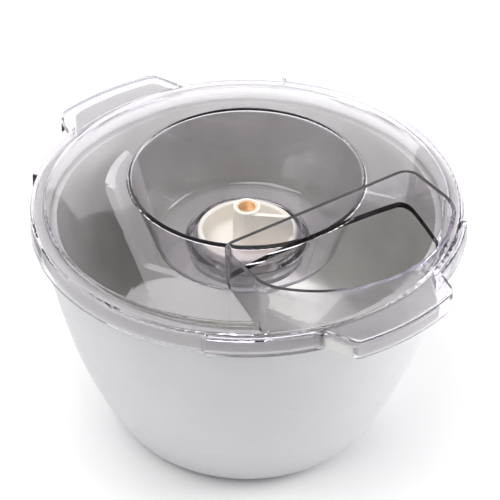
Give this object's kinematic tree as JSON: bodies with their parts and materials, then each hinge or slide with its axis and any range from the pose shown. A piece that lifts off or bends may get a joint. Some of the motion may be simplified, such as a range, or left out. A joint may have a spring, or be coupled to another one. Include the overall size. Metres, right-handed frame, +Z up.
{
  "type": "ice cream maker",
  "caption": "Freezer-bowl ice cream maker with a clear domed lid, sunken drive well, feed chute, rim handles and a churning paddle turned by a mixer.",
  "frame": {"origin": "centre of the foot's underside", "axes": "+Z up along the bowl's axis, +X through one handle and under the feed chute"},
  "size_m": [0.2797, 0.2468, 0.1845],
  "materials": {
    "shell_white": "smooth semi-gloss white moulding",
    "foam": "pale yellow rigid foam",
    "tank_white": "thin white moulding",
    "plug_rubber": "soft black bung",
    "gel": "blue freezing gel",
    "seal_rubber": "pale silicone",
    "bowl_aluminium": "spun, satin anodised",
    "ring_grey": "fine-grained grey moulding",
    "base_white": "fine-grained white moulding",
    "screw_steel": "zinc-plated steel",
    "lid_clear": "clear polished plastic with a faint lilac tint",
    "hub_cream": "cream acetal, fine satin",
    "bush_brass": "turned brass",
    "paddle_frosted": "translucent frosted moulding"
  },
  "bodies": {
    "bowl": {"outer_shell": "shell_white", "insulation_foam": "foam", "gel_tank": "tank_white", "filler_plug": "plug_rubber", "cooling_gel": "gel", "gel_seal": "seal_rubber", "inner_bowl": "bowl_aluminium", "rim_seal": "seal_rubber", "rim_ring": "ring_grey", "base_plate": "base_white", "base_screws": "screw_steel"},
    "lid": {"lid": "lid_clear"},
    "paddle": {"paddle": "paddle_frosted"},
    "hub": {"drive_hub": "hub_cream", "hub_bush": "bush_brass"}
  },
  "joints": [
    {"name": "lid_lift", "type": "slide", "parent": "bowl", "child": "lid", "axis": [0, 0, 1], "range_m": [0, 0.135]},
    {"name": "paddle_spin", "type": "hinge", "parent": "lid", "child": "paddle", "pos_m": [0, 0, 0.1], "axis": [0, 0, 1], "continuous": true},
    {"name": "hub_lift", "type": "slide", "parent": "paddle", "child": "hub", "axis": [0, 0, 1], "range_m": [0, 0.06]}
  ]
}
